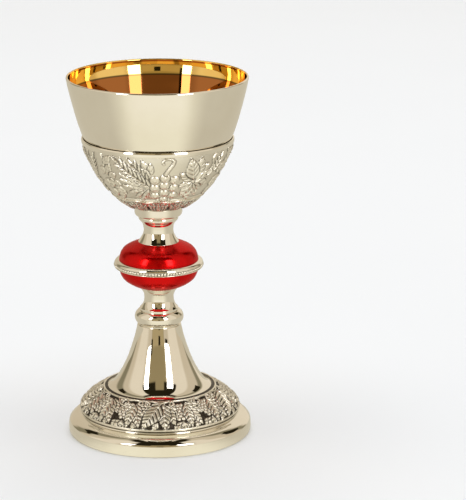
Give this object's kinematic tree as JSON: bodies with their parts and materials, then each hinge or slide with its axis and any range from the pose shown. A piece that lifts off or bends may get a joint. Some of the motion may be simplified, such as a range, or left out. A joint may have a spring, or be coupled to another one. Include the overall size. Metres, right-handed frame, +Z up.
{
  "type": "chalice",
  "caption": "Open chalice: flared cup in an embossed calyx, waisted stem with a red domed knot and beaded band, flared cone and round foot with an embossed ring.",
  "frame": {"origin": "centre of the flat face the foot stands on", "axes": "+Z up along the axis of the cup and stem, -Y towards the front of the vine relief"},
  "size_m": [0.1076, 0.1076, 0.213],
  "materials": {
    "cup_polish": "mirror polished silver plate outside, mirror gilt inside",
    "polished_silver": "mirror polished silver plate",
    "relief_silver": "polished relief with darkened recesses",
    "band_silver": "polished, with darkened recesses",
    "red_enamel": "gloss translucent red enamel",
    "bright_brass": "turned",
    "bright_steel": "zinc bright",
    "spring_steel": "dark spring steel"
  },
  "bodies": {
    "stem_and_foot": {"cup_socket": "bright_brass", "upper_neck": "polished_silver", "knot_upper_shell": "red_enamel", "knot_band": "band_silver", "knot_lower_shell": "red_enamel", "knot_spacer": "bright_brass", "lower_neck": "polished_silver", "foot_collar": "polished_silver", "foot_cone": "polished_silver", "foot_relief_ring": "relief_silver", "foot_bead_ring": "polished_silver", "foot_base": "polished_silver", "tie_bolt": "bright_steel", "clamp_washer": "bright_steel", "lock_washer": "spring_steel", "clamp_nut": "bright_steel"},
    "calyx": {"calyx_shell": "relief_silver", "calyx_rim_ring": "polished_silver", "calyx_leaf_ring": "relief_silver", "calyx_collar": "polished_silver"},
    "cup": {"cup_bowl": "cup_polish", "cup_boss": "bright_brass", "cup_stud": "bright_steel", "calyx_nut": "bright_steel"}
  },
  "joints": [
    {"name": "cup_rise", "type": "slide", "parent": "stem_and_foot", "child": "calyx", "axis": [0, 0, 1], "range_m": [0, 0.01]},
    {"name": "cup_turn", "type": "hinge", "parent": "calyx", "child": "cup", "pos_m": [0, 0, 0.15], "axis": [0, 0, 1], "range_deg": [0, 2880]}
  ],
  "couplings": [
    {"joint": "cup_rise", "follows": "cup_turn", "m_per_rad": 0.00019894}
  ]
}
